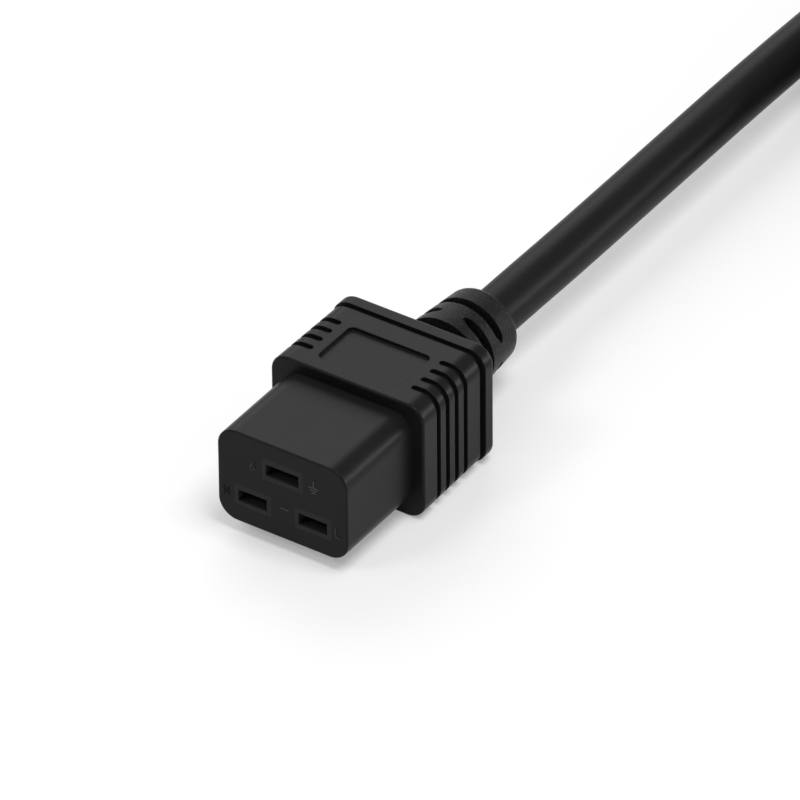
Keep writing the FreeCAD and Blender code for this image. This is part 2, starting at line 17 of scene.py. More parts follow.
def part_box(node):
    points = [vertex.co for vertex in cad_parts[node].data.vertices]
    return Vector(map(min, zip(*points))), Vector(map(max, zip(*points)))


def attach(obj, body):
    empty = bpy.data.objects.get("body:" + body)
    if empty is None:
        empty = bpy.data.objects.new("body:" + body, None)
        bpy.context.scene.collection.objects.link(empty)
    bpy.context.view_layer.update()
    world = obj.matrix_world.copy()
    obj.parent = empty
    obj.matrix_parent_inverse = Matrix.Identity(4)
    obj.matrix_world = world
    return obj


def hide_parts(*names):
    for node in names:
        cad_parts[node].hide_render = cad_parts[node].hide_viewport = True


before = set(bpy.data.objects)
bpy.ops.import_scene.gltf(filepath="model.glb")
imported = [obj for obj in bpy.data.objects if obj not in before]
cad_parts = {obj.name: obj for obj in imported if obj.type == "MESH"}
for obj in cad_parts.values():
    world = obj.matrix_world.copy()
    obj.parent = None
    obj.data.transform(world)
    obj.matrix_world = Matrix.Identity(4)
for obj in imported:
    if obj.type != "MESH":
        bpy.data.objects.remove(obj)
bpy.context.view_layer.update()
MM = 0.001
print("nodes in the frame:", len(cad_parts))

# %% [markdown]
# The connector's own places
#
# Positions could be typed in as numbers, but then they would drift from the construction model.
# Everything here is placed from the boxes of the construction pieces instead. The face of the nose
# is the lowest y of the moulding, and its middle is half the grip's height above the surface.

# %% Read the main places from the frame
moulding_low, moulding_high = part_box("connector_overmould")
FACE_Y = moulding_low.y
FACE_Z = (moulding_low.z + moulding_high.z) / 2
NECK_END_Y = moulding_high.y
face_middle = Vector((0.0, FACE_Y, FACE_Z))
print("middle of the nose's face, in mm:", [round(v / MM, 2) for v in face_middle])

# %% [markdown]
# The camera
#
# It stands a long way off with a long lens, as for a catalogue, so that parallel edges stay almost
# parallel. An azimuth, an elevation and a slight roll give its direction. It looks a little to the
# right of the face and above it, which leaves room for the cord to run out of view.


# %% Set up the camera
def put_in_scene(name, data):
    """A new object of some data, linked to the scene."""
    made = bpy.data.objects.new(name, data)
    bpy.context.scene.collection.objects.link(made)
    return made


CAMERA_AZIMUTH = 34.86
CAMERA_ELEVATION = 36.63
CAMERA_ROLL = -0.99
CAMERA_DISTANCE = 1.944
CAMERA_LENS = 489.6
LOOK_RIGHT = 0.02103
LOOK_UP = 0.01688


def camera_axes(azimuth, elevation, roll):
    """Right, up and backward directions of a camera, from angles in degrees."""
    a, e = math.radians(azimuth), math.radians(elevation)
    back = Vector((math.sin(a) * math.cos(e), -math.cos(a) * math.cos(e), math.sin(e)))
    level = Vector((math.cos(a), math.sin(a), 0.0))
    right = Matrix.Rotation(math.radians(roll), 3, back) @ level
    return right, back.cross(right), back


def place_camera():
    right, up, back = camera_axes(CAMERA_AZIMUTH, CAMERA_ELEVATION, CAMERA_ROLL)
    data = bpy.data.cameras.new("studio_camera")
    data.lens = CAMERA_LENS
    data.clip_start, data.clip_end = 0.1, 20.0
    camera = put_in_scene("studio_camera", data)
    place = face_middle + back * CAMERA_DISTANCE
    sight = (face_middle + right * LOOK_RIGHT + up * LOOK_UP - place).normalized()
    across = sight.cross(up).normalized()
    turn = Matrix((across, across.cross(sight), -sight)).transposed()
    camera.matrix_world = Matrix.Translation(place) @ turn.to_4x4()
    bpy.context.scene.camera = camera
    return camera


camera = place_camera()
print("camera at", [round(v, 3) for v in camera.matrix_world.translation])

# %% [markdown]
# Shader maths as plain sums
#
# A finish is a handful of numbers that vary over the surface. Wiring each sum by hand hides what it
# says, so one class wraps a node's output and gives it the usual operators. Every other node comes
# from a single method, which takes the kind of node, its settings, and what goes into its sockets.


# %% Wrap a shader's sockets
class Value:
    """The output of a shader node, on which sums can be written as on a number."""

    def __init__(self, finish, socket):
        self.finish, self.socket = finish, socket

    def maths(self, operation, *terms):
        return self.finish.node("ShaderNodeMath", {"operation": operation}, dict(enumerate(terms)))

    def __add__(self, other):
        return self.maths("ADD", self, other)

    def __sub__(self, other):
        return self.maths("SUBTRACT", self, other)

    def __rsub__(self, other):
        return self.maths("SUBTRACT", other, self)

    def __mul__(self, other):
        return self.maths("MULTIPLY", self, other)

    __radd__ = __add__
    __rmul__ = __mul__

    def over(self, limit):
        """1 where the value is over a limit, and 0 elsewhere."""
        return self.maths("GREATER_THAN", self, limit)

    def at_least(self, limit):
        return self.maths("MAXIMUM", self, limit)


print("sums can be written on a", Value.__name__)


# %% Build finishes from one kind of helper
class Finish:
    """A material built round one Principled shader, whose even values are given by name."""

    def __init__(self, name, **even):
        self.material = bpy.data.materials.new(name)
        self.material.use_nodes = True
        self.tree = self.material.node_tree
        self.shader = self.tree.nodes["Principled BSDF"]
        for socket, number in even.items():
            self.shader.inputs[socket.replace("_", " ")].default_value = number

    def feed(self, socket, given):
        if isinstance(given, Value):
            self.tree.links.new(given.socket, socket)
        else:
            socket.default_value = given

    def node(self, kind, settings=None, sockets=None, output=0):
        made = self.tree.nodes.new(kind)
        for name, setting in (settings or {}).items():
            setattr(made, name, setting)
        for name, given in (sockets or {}).items():
            self.feed(made.inputs[name], given)
        return Value(self, made.outputs[output])

    def drive(self, name, given):
        self.feed(self.shader.inputs[name], given)

    def position(self):
        """Where a point lies on its piece, in metres."""
        return self.node("ShaderNodeTexCoord", output="Object")

    def noise(self, grain, detail=2.0, roughness=0.5, stretch=(1.0, 1.0, 1.0)):
        """Noise from 0 to 1 whose lumps are about grain across, in metres."""
        sockets = {"Vector": self.position(), "Scale": stretch}
        place = self.node("ShaderNodeMapping", None, sockets)
        sockets = {"Vector": place, "Scale": 1 / grain, "Detail": detail, "Roughness": roughness}
        return self.node("ShaderNodeTexNoise", None, sockets)

    def between(self, factor, first, second):
        """A colour part of the way from the first to the second."""
        sockets = {0: factor, 6: (*first, 1.0), 7: (*second, 1.0)}
        return self.node("ShaderNodeMix", {"data_type": "RGBA"}, sockets, output=2)

    def relief(self, height, depth, edge):
        """Surface relief of a real depth over edges rounded to a small radius, in metres."""
        rounded = self.node("ShaderNodeBevel", {"samples": 6}, {"Radius": edge})
        sockets = {"Height": height, "Distance": depth, "Strength": 1.0, "Normal": rounded}
        self.drive("Normal", self.node("ShaderNodeBump", None, sockets))


print("a finish has:", ", ".join(name for name in vars(Finish) if name[0] != "_"))

# %% [markdown]
# The soft moulding
#
# Soft PVC takes the texture of its steel mould: a fine eroded grain, about a hundredth of a
# millimetre deep, over a slight waviness where the plastic shrank. On the bend relief the mould is
# eroded more coarsely and more deeply, and the tops of that coarser grain are painted pale, as
# painted glints, so that part is speckled. The grain scatters reflections, which is why the
# specular level is far below that of polished plastic. The rim of every edge is rounded a little,
# because no moulded edge is sharp. A second material for the bend relief would need a second
# piece, so one finish finds its place along y and changes its grain and its painted glints there.

# %% Make the soft moulding
SHRINK_LUMP = 6 * MM
FINE_GRAIN = 0.17 * MM
COARSE_GRAIN = 0.42 * MM
COARSE_DEPTH = 14.0  # in depths of the fine grain
GLINT_FROM = 0.52  # painted glints: only the tops of the coarse grain are painted pale
GLINT_CONTRAST = 5.0
BEND_RELIEF_LENGTH = 21.8 * MM


def grey(level):
    return (level, level, level)


def soft_moulding(name, relief_start):
    """Soft PVC whose grain is coarser beyond the start of the bend relief, along y, with painted
    glints on its tops there.
    """
    finish = Finish(name, Specular_IOR_Level=0.085)
    shrink = finish.noise(SHRINK_LUMP, detail=3.0)
    fine = finish.noise(FINE_GRAIN, detail=3.0, roughness=0.6)
    coarse = finish.noise(COARSE_GRAIN, roughness=0.7)
    y = finish.node("ShaderNodeSeparateXYZ", None, {0: finish.position()}, output="Y")
    on_relief = y.over(relief_start)
    grain = fine * (1 - on_relief) + coarse * on_relief * COARSE_DEPTH
    # painted glints: the tops of the coarse grain on the bend relief are painted pale
    painted_glint = ((coarse - GLINT_FROM) * GLINT_CONTRAST).at_least(0.0) * on_relief
    # each sum below takes a share of each pattern, and a plain number is where it starts
    tone_with_glint = shrink * 0.12 + fine * 0.12 + painted_glint * 0.9
    finish.drive("Base Color", finish.between(tone_with_glint, grey(0.008), grey(0.030)))
    finish.drive("Roughness", shrink * 0.08 + fine * 0.10 + 0.25)
    finish.relief(grain + shrink * 0.5, depth=0.012 * MM, edge=0.15 * MM)
    return finish.material


OVERMOULD_PVC = soft_moulding("overmould_pvc", NECK_END_Y - BEND_RELIEF_LENGTH)
PLUG_PVC = soft_moulding("plug_pvc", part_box("plug_overmould")[1].y - BEND_RELIEF_LENGTH)
print("soft mouldings:", OVERMOULD_PVC.name, "and", PLUG_PVC.name)

# %% [markdown]
# The rigid plastics
#
# The carrier inside the nose and the insert inside the plug are of a harder plastic. Its grain is
# shallower than the moulding's, and it is a touch paler, so its rims show round the openings. The
# raised marks belong to the moulding, but most of them get smoother and paler finishes than it.
# One recipe serves them all.


# %% Make the rigid plastics
def rigid_plastic(name, dark, light, grain, edge, specular=0.2):
    """Smooth plastic with a fine grain and no coarser part."""
    finish = Finish(name, Specular_IOR_Level=specular)
    shrink = finish.noise(SHRINK_LUMP, detail=3.0)
    fine = finish.noise(grain, detail=3.0, roughness=0.6)
    finish.drive("Base Color", finish.between(shrink * 0.5 + fine * 0.5, dark, light))
    finish.drive("Roughness", shrink * 0.08 + fine * 0.10 + 0.33)
    finish.relief(fine + shrink * 0.5, depth=0.004 * MM, edge=edge)
    return finish.material


def pale_smooth_plastic(name, dark, light):
    return rigid_plastic(name, dark, light, grain=0.15 * MM, edge=0.03 * MM)


CARRIER_PLASTIC = rigid_plastic(
    "carrier_plastic",
    dark=(0.024, 0.024, 0.025),
    light=(0.032, 0.032, 0.033),
    grain=0.3 * MM,
    edge=0.06 * MM,
    specular=0.04,
)
# the marks are paler than the moulding, and the palest finish goes on the wave and the earth symbol
MARK_PLASTIC = pale_smooth_plastic("mark_plastic", grey(0.015), grey(0.022))
PALEST_MARK_PLASTIC = pale_smooth_plastic(
    "palest_mark_plastic", dark=(0.045, 0.045, 0.046), light=(0.062, 0.062, 0.063)
)
print("rigid plastics:", CARRIER_PLASTIC.name, MARK_PLASTIC.name, PALEST_MARK_PLASTIC.name)

# %% [markdown]
# The jacket of the cord
#
# The jacket is extruded through a die, so it has no mould grain, and its sheen is a little softer
# than the grip's. What little unevenness it has comes from the three twisted cores inside: a long
# soft swell that shows only in the reflections, and faint lines drawn along its length.

# %% Make the jacket's finish
SWELL_LENGTH = 24 * MM
DRAWN_LINE = 0.5 * MM


def extruded_jacket():
    finish = Finish("cord_jacket", Specular_IOR_Level=0.09)
    swell = finish.noise(SWELL_LENGTH, detail=1.0)
    drawn = finish.noise(DRAWN_LINE, stretch=(1.0, 0.05, 1.0))
    mottle = swell * 0.6 + drawn * 0.4
    finish.drive("Base Color", finish.between(mottle, grey(0.008), grey(0.013)))
    finish.drive("Roughness", swell * 0.06 + drawn * 0.06 + 0.34)
    finish.relief(drawn * 0.15 + swell, depth=0.02 * MM, edge=0.2 * MM)
    return finish.material


CORD_JACKET = extruded_jacket()
print("jacket:", CORD_JACKET.name)

# %% [markdown]
# Metals
#
# The contacts are folded from brass strip, which shows faint lines from rolling. The plug's blades
# are brass with a bright nickel coat, and the conductors are bare copper. One recipe serves all
# three: streaks drawn out along the length, and cloudy patches where handling has dulled them.

# %% Make the metals
ROLLED_LINE = 0.25 * MM
TARNISH_PATCH = 3 * MM


def rolled_metal(name, dark, light, roughness):
    finish = Finish(name, Metallic=1.0)
    lines = finish.noise(ROLLED_LINE, detail=3.0, stretch=(1.0, 0.04, 1.0))
    tarnish = finish.noise(TARNISH_PATCH)
    finish.drive("Base Color", finish.between(tarnish * 0.7 + lines * 0.3, dark, light))
    # the two patterns add about 0.1 between them, on average
    finish.drive("Roughness", lines * 0.12 + tarnish * 0.08 + (roughness - 0.1))
    finish.relief(lines, depth=0.003 * MM, edge=0.06 * MM)
    return finish.material


BRASS = rolled_metal("contact_brass", (0.50, 0.35, 0.13), (0.74, 0.56, 0.26), roughness=0.30)
NICKEL = rolled_metal("nickel_plate", (0.52, 0.50, 0.47), (0.70, 0.68, 0.64), roughness=0.24)
COPPER = rolled_metal("bare_copper", (0.62, 0.27, 0.15), (0.80, 0.42, 0.26), roughness=0.32)
print("metals:", BRASS.name, NICKEL.name, COPPER.name)

# %% [markdown]
# The insulation of the cores
#
# The three cores carry the usual colours: brown for line, light blue for neutral, and green with
# yellow for earth. The earth core's two colours are bands of one wave across it, so that both
# show from any side, as on the real one.

# %% Make the core insulation
INSULATION_MOTTLE = 0.8 * MM
BANDS_PER_METRE = 0.3 / MM


def core_insulation(name, dark, light, banded=False):
    finish = Finish(name, IOR=1.45, Roughness=0.42)
    factor = mottle = finish.noise(INSULATION_MOTTLE)
    if banded:
        sockets = {"Vector": finish.position(), "Scale": BANDS_PER_METRE}
        factor = finish.node("ShaderNodeTexWave", {"bands_direction": "X"}, sockets)
    finish.drive("Base Color", finish.between(factor, dark, light))
    finish.relief(mottle, depth=0.004 * MM, edge=0.05 * MM)
    return finish.material


CORE_COLOURS = {
    "line": core_insulation("brown_core", (0.09, 0.035, 0.015), (0.13, 0.05, 0.02)),
    "neutral": core_insulation("blue_core", (0.03, 0.13, 0.36), (0.05, 0.18, 0.45)),
    "earth": core_insulation("earth_core", (0.03, 0.20, 0.04), (0.62, 0.55, 0.03), banded=True),
}
print("cores:", ", ".join(colour.name for colour in CORE_COLOURS.values()))

# %% [markdown]
# Dressing the construction pieces
#
# Each construction piece keeps its shape and takes a finish. The names say what each piece is, and
# the connector and the plug are built of the same kinds of piece, so a few tests on the names are
# enough.


# %% Give every construction piece its finish
def finish_of(piece):
    if piece == "connector_overmould":
        return OVERMOULD_PVC
    if piece == "plug_overmould":
        return PLUG_PVC
    if piece.startswith("carrier") or piece.endswith(("_carrier", "_insert")):
        return CARRIER_PLASTIC
    if piece.endswith("_contact"):
        return BRASS
    if piece.endswith("_blade"):
        return NICKEL
    if piece.endswith("_conductor"):
        return COPPER
    if piece.endswith("_core"):
        return next(colour for pole, colour in CORE_COLOURS.items() if pole in piece)
    return CORD_JACKET


for name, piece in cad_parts.items():
    piece.data.materials.clear()
    piece.data.materials.append(finish_of(name))
print("finished", len(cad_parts), "construction pieces")

# %% [markdown]
# The raised marks on the face
#
# The mould has small marks cut into it, so they stand up from the face by about a tenth of a
# millimetre: N and L beside their openings, an earth symbol, a wave for alternating current and
# the number of the mould's cavity. They could be drawn as a pattern in the finish, but real relief
# catches the light at its edges. Letters are made as text, because the built-in font has plain
# strokes like a mould cutter's. The wave and the earth symbol are palest, and the N has the
# moulding's own finish.

# %% Set a mark on the face
MARK_HEIGHT = 0.12 * MM
MARK_SINK = 0.03 * MM
MARK_DEPTH = MARK_HEIGHT + MARK_SINK
MARK_EDGE = 0.02 * MM


def stand_on_face(mesh, x, z):
    """Turn a flat mark upright, put it on the face, and sink its back a little into it."""
    upright = Matrix(((1, 0, 0), (0, 0, -1), (0, 1, 0))).to_4x4()
    place = Vector((x, FACE_Y + MARK_SINK, FACE_Z + z))
    mesh.transform(Matrix.Translation(place) @ upright)


def add_piece(name, mesh, finish):
    mesh.materials.clear()
    mesh.materials.append(finish)
    piece = put_in_scene(name, mesh)
    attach(piece, "root")
    return piece


print("marks stand", round(MARK_HEIGHT / MM, 2), "mm proud")

# %% Turn letters into raised plastic
CAPITAL_SHARE = 0.7  # a capital is about seven tenths of the type size
SAME_POINT = 0.0001 * MM


def close_seams(mesh):
    """Merge the front, sides and back of a letter, which come from the text unjoined."""
    surface = bmesh.new()
    surface.from_mesh(mesh)
    bmesh.ops.remove_doubles(surface, verts=surface.verts[:], dist=SAME_POINT)
    bmesh.ops.recalc_face_normals(surface, faces=surface.faces[:])
    surface.to_mesh(mesh)
    surface.free()


def raised_letter(name, letter, x, z, height, finish=MARK_PLASTIC, breadth=1.0):
    """A letter of a given height; breadth widens or narrows it."""
    curve = bpy.data.curves.new(name, "FONT")
    curve.body = letter
    curve.size = height / CAPITAL_SHARE
    curve.align_x, curve.align_y = "CENTER", "CENTER"
    curve.extrude = MARK_DEPTH / 2
    curve.bevel_depth = MARK_EDGE
    curve.bevel_resolution = 2
    curve.resolution_u = 6
    shape = put_in_scene(name + "_shape", curve)
    depsgraph = bpy.context.evaluated_depsgraph_get()
    mesh = bpy.data.meshes.new_from_object(shape.evaluated_get(depsgraph))
    bpy.data.objects.remove(shape)
    close_seams(mesh)
    mesh.transform(Matrix.Diagonal((breadth, 1, 1, 1)))
    mesh.transform(Matrix.Translation((0, 0, MARK_DEPTH / 2)))
    stand_on_face(mesh, x, z)
    return add_piece(name, mesh, finish)


letters = [
    raised_letter("mark_neutral", "N", -12.25 * MM, -4.15 * MM, 1.8 * MM, OVERMOULD_PVC, 0.75),
    raised_letter("mark_line", "L", 11.87 * MM, -3.96 * MM, 2.0 * MM),
    raised_letter("mark_cavity", "6", -6.35 * MM, 3.7 * MM, 1.7 * MM),
    raised_letter(
        "mark_alternating", "~", 0.5 * MM, -3.0 * MM, 1.35 * MM, PALEST_MARK_PLASTIC, 1.55
    ),
]
print("letters on the face:", ", ".join(letter.name for letter in letters))

# %% [markdown]
# The earth symbol
#
# No letter of the font is an earth symbol. It is only a stem over three rungs that get shorter, so
# it is made of four bars with slightly rounded edges. The bars are given as shares of the symbol's
# size, which makes it easy to enlarge.

# %% Build the earth symbol from bars
BAR_THICKNESS = 0.095
EARTH_STEM = (0.29, BAR_THICKNESS, 0.54)  # height of its middle, width, height
EARTH_RUNGS = [
    (0.02, 0.76, BAR_THICKNESS),
    (-0.165, 0.52, BAR_THICKNESS),
    (-0.35, 0.29, BAR_THICKNESS),
]


def raised_earth_symbol(x, z, size):
    bars = bmesh.new()
    for middle, width, height in [EARTH_STEM] + EARTH_RUNGS:
        made = bmesh.ops.create_cube(bars, size=1.0)["verts"]
        scale = Vector((width * size, height * size, MARK_DEPTH))
        bmesh.ops.scale(bars, vec=scale, verts=made)
        bmesh.ops.translate(bars, vec=(0, middle * size, scale.z / 2), verts=made)
    bmesh.ops.bevel(bars, geom=bars.edges[:], offset=MARK_EDGE, segments=2, affect="EDGES")
    mesh = bpy.data.meshes.new("mark_earth")
    bars.to_mesh(mesh)
    bars.free()
    stand_on_face(mesh, x, z)
    return add_piece("mark_earth", mesh, PALEST_MARK_PLASTIC)


earth_symbol = raised_earth_symbol(6.87 * MM, 4.1 * MM, size=2.85 * MM)
print(earth_symbol.name, "has", len(earth_symbol.data.polygons), "faces")

# %% [markdown]
# The cord
#
# A cord is one long flexible thing, so it is one smooth spline with a round section. It leaves the
# bend relief straight, sinks slowly to the surface and joins a neat coil of two layers, wound from
# the outside in and then back out again. It leaves the coil from its upper layer and ends in the
# plug. A simulated cord would never lie as neatly as a hand-wound one, so the turns are worked out.

# %% Name the cord's sizes
coil_low, coil_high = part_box("cord_coil")
plug_low, plug_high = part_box("plug_overmould")
CORD_DIAMETER = 9.8 * MM
CORD_RADIUS = CORD_DIAMETER / 2
coil_middle = (coil_low + coil_high) / 2
OUTER_STRAND = (coil_high.x - coil_low.x) / 2 - CORD_RADIUS
LOWER_LAYER = coil_low.z + CORD_RADIUS
UPPER_LAYER = coil_high.z - CORD_RADIUS
AXIS_Z = 10.85 * MM
print("outer strand of the coil lies at a radius of", round(OUTER_STRAND / MM, 2), "mm")

# %% [markdown]
# The coil's turns
#
# A strand that is wound beside another has to ease over by one diameter in each turn. All the
# turns of a layer ease over at the same place, a third of a turn long, so neighbours stay within
# 0.4 mm of one diameter apart even there. The strand climbs to the upper layer just before the
# lower layer's place, and the upper layer's own place comes just before the climb.

# %% Work out the coil's turns
POINTS_PER_TURN = 24
FIRST_POINT = 2  # the lead's last point stands for the two before it
START_ANGLE = 180.0
LEAVING_ANGLE = -24.0
TURNS_WOUND = 5 + (START_ANGLE - LEAVING_ANGLE) / 360.0
EASE = 1 / 3
INWARD_FROM = (1 - EASE, 2 - EASE)
CLIMB_FROM = 3 - EASE - EASE / 4
OUTWARD_FROM = (3.5, 4.5, 5.5)


def eased(wound, start):
    """How far a strand has eased over, from 0 to 1, after a number of turns."""
    share = min(max((wound - start) / EASE, 0.0), 1.0)
    return share * share * (3 - 2 * share)


def strand_place(wound):
    """Radius and height of the strand's middle after a number of turns."""
    inward = sum(eased(wound, start) for start in INWARD_FROM)
    outward = sum(eased(wound, start) for start in OUTWARD_FROM)
    radius = OUTER_STRAND - (inward - outward) * CORD_DIAMETER
    return radius, LOWER_LAYER + (UPPER_LAYER - LOWER_LAYER) * eased(wound, CLIMB_FROM)


def coil_points():
    count = round(TURNS_WOUND * POINTS_PER_TURN)
    spread = 1 / math.cos(math.pi / POINTS_PER_TURN)  # a spline runs a little inside its points
    points = []
    for step in range(FIRST_POINT, count):
        wound = TURNS_WOUND * step / count
        radius, height = strand_place(wound)
        angle = math.radians(START_ANGLE - 360 * wound)
        x = coil_middle.x + radius * spread * math.cos(angle)
        y = coil_middle.y + radius * spread * math.sin(angle)
        points.append((x, y, height))
    return points


print("turns wound:", round(TURNS_WOUND, 2), "in", len(coil_points()), "points")

# %% [markdown]
# The stretches before and after the coil
#
# The lead keeps the height of the bend relief for a while, then sinks to the coil's lower layer and
# meets it at the coil's left side. The tail leaves the upper layer in line with the strand there
# and runs straight into the plug. Both lie too close to the coil. The lead isn't quite down where
# the outer strand of the upper layer passes over it, and the two overlap by 2.8 mm. The tail
# overlaps the strand beside it by 1.2 mm.

# %% Lay the cord
PLUG_X = (plug_low.x + plug_high.x) / 2
PLUG_Z = (plug_low.z + plug_high.z) / 2
LEAD_POINTS = [
    (0.0, 7.175 * MM, AXIS_Z),  # inside the grip
    (0.0, 40.0 * MM, AXIS_Z),  # out of the bend relief
    (0.4 * MM, 62.825 * MM, AXIS_Z),
    (0.1 * MM, 140.825 * MM, AXIS_Z + 0.1 * MM),  # the end of the straight stretch
    (coil_middle.x - OUTER_STRAND + 0.3 * MM, coil_middle.y + 10 * MM, LOWER_LAYER + 0.3 * MM),
]
leaving = math.radians(LEAVING_ANGLE)
tail_start = coil_middle + OUTER_STRAND * Vector((math.cos(leaving), math.sin(leaving), 0))
TAIL_POINTS = [
    (tail_start.x - 5.4 * MM, tail_start.y - 15 * MM, UPPER_LAYER - 0.6 * MM),
    (PLUG_X, plug_high.y - 3 * MM, PLUG_Z),  # the end of the plug's bend relief
    (PLUG_X, plug_high.y - 22.8 * MM, PLUG_Z),  # inside the plug's grip
]


def lay_cord():
    points = LEAD_POINTS + coil_points() + TAIL_POINTS
    curve = bpy.data.curves.new("cord", "CURVE")
    curve.dimensions = "3D"
    spline = curve.splines.new("NURBS")
    spline.points.add(len(points) - 1)
    for point, place in zip(spline.points, points):
        point.co = (*place, 1.0)
    spline.order_u = 3
    spline.use_endpoint_u = True
    spline.resolution_u = 6
    curve.bevel_depth = CORD_RADIUS
    curve.bevel_resolution = 10
    curve.use_fill_caps = True
    curve.materials.append(CORD_JACKET)
    return put_in_scene("cord", curve)


cord = lay_cord()
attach(cord, "root")
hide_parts("cord_lead", "cord_coil", "cord_tail")
print("the cord has", len(cord.data.splines[0].points), "control points")

# %% [markdown]
# The straps round the coil
#
# Two woven straps tie the coil. Each is a band that goes once round the strands, ribbed across by
# its weft and edged by a rolled selvedge, with its free end lapped over and sewn down. The band
# follows a path and its ribs and stitches repeat along it, which is just what Geometry Nodes are
# for: the same tree makes both straps, and its sizes are inputs with names.

# %% Name the strap's sizes
STRAP_INPUTS = {
    "Loop Width": 31.4 * MM,
    "Loop Height": 21.6 * MM,
    "Corner": 3.0 * MM,
    "Strap Width": 12.0 * MM,
    "Thickness": 1.0 * MM,
    "Rib Pitch": 0.7 * MM,
    "Lap Length": 20.0 * MM,
    "Stitch Pitch": 1.3 * MM,
}
# shares of the strap's thickness
GROUND_THICKNESS = 0.6
RIB_RADIUS = 0.42
SELVEDGE_RADIUS = 0.45
LAP_THICKNESS = 0.7
SEAM_HEIGHT = 0.8
# shares of the lap's length and of the strap's width
SEAM_REACH = 0.42
SEAM_SIDE = 0.36
THREAD_SIZE = (0.9 * MM, 0.22 * MM, 0.3 * MM)
print("a strap has", len(STRAP_INPUTS), "sizes")


# %% Add nodes to a geometry tree by one method
class Tree:
    """A Geometry Nodes tree whose nodes are added by one method, as for a finish."""

    def __init__(self, name, numbers):
        self.tree = bpy.data.node_groups.new(name, "GeometryNodeTree")
        self.add_socket("Geometry", "OUTPUT", "NodeSocketGeometry")
        self.identifiers = {}
        for label, number in numbers.items():
            made = self.add_socket(label, "INPUT", "NodeSocketFloat")
            made.default_value = number
            self.identifiers[label] = made.identifier
        self.given = self.tree.nodes.new("NodeGroupInput")
        self.result = self.tree.nodes.new("NodeGroupOutput")

    def add_socket(self, label, in_out, kind):
        return self.tree.interface.new_socket(label, in_out=in_out, socket_type=kind)

    def size(self, label):
        return self.given.outputs[label]

    def node(self, kind, settings=None, sockets=None, output=0):
        made = self.tree.nodes.new(kind)
        for name, setting in (settings or {}).items():
            setattr(made, name, setting)
        for name, given in (sockets or {}).items():
            for one in given if isinstance(given, list) else [given]:
                if isinstance(one, bpy.types.NodeSocket):
                    self.tree.links.new(one, made.inputs[name])
                else:
                    made.inputs[name].default_value = one
        return made.outputs[output]

    def maths(self, operation, first, second):
        return self.node("ShaderNodeMath", {"operation": operation}, {0: first, 1: second})

    def times(self, value, factor):
        return self.maths("MULTIPLY", value, factor)

    def vector(self, x=0.0, y=0.0, z=0.0):
        return self.node("ShaderNodeCombineXYZ", None, {0: x, 1: y, 2: z})

    def moved(self, geometry, offset):
        sockets = {"Geometry": geometry, "Translation": offset}
        return self.node("GeometryNodeTransform", None, sockets)

    def block(self, size):
        return self.node("GeometryNodeMeshCube", None, {"Size": size}, "Mesh")

    def line(self, start, end):
        return self.node("GeometryNodeCurvePrimitiveLine", None, {"Start": start, "End": end})

    def swept(self, path, section):
        sockets = {"Curve": path, "Profile Curve": section}
        return self.node("GeometryNodeCurveToMesh", None, sockets)

    def along(self, path, pitch, shape):
        """Copies of a shape at even steps along a path."""
        sockets = {"Curve": path, "Length": pitch}
        points = self.node("GeometryNodeResampleCurve", {"mode": "LENGTH"}, sockets)
        sockets = {"Points": points, "Instance": shape}
        return self.node("GeometryNodeInstanceOnPoints", None, sockets)


print("a tree has:", ", ".join(name for name in vars(Tree) if name[0] != "_"))


# %% Weave the band
def band_path(tree):
    """The rounded loop that runs along the middle of the band's thickness."""
    thickness = tree.size("Thickness")
    width = tree.maths("SUBTRACT", tree.size("Loop Width"), thickness)
    height = tree.maths("SUBTRACT", tree.size("Loop Height"), thickness)
    corner = tree.maths("SUBTRACT", tree.size("Corner"), tree.times(thickness, 0.5))
    sockets = {"Width": width, "Height": height}
    flat = tree.node("GeometryNodeCurvePrimitiveQuadrilateral", None, sockets)
    sockets = {"Curve": flat, "Count": 6, "Radius": corner}
    return tree.node("GeometryNodeFilletCurve", {"mode": "POLY"}, sockets)


def weft_rib(tree):
    radius = tree.times(tree.size("Thickness"), RIB_RADIUS)
    sockets = {"Vertices": 8, "Radius": radius, "Depth": tree.size("Strap Width")}
    return tree.node("GeometryNodeMeshCylinder", None, sockets, "Mesh")


def woven_band(tree, rib):
    """The ground of the band, its ribs and its two rolled selvedges."""
    width, thickness = tree.size("Strap Width"), tree.size("Thickness")
    path = band_path(tree)
    sockets = {"Width": tree.times(thickness, GROUND_THICKNESS), "Height": width}
    ground = tree.node("GeometryNodeCurvePrimitiveQuadrilateral", None, sockets)
    sockets = {"Resolution": 8, "Radius": tree.times(thickness, SELVEDGE_RADIUS)}
    roll = tree.node("GeometryNodeCurvePrimitiveCircle", None, sockets)
    made = [tree.swept(path, ground), tree.along(path, tree.size("Rib Pitch"), rib)]
    for side in (-0.5, 0.5):
        rim = tree.moved(path, tree.vector(z=tree.times(width, side)))
        made.append(tree.swept(rim, roll))
    return made


print("ribs lie", round(STRAP_INPUTS["Rib Pitch"] / MM, 2), "mm apart")


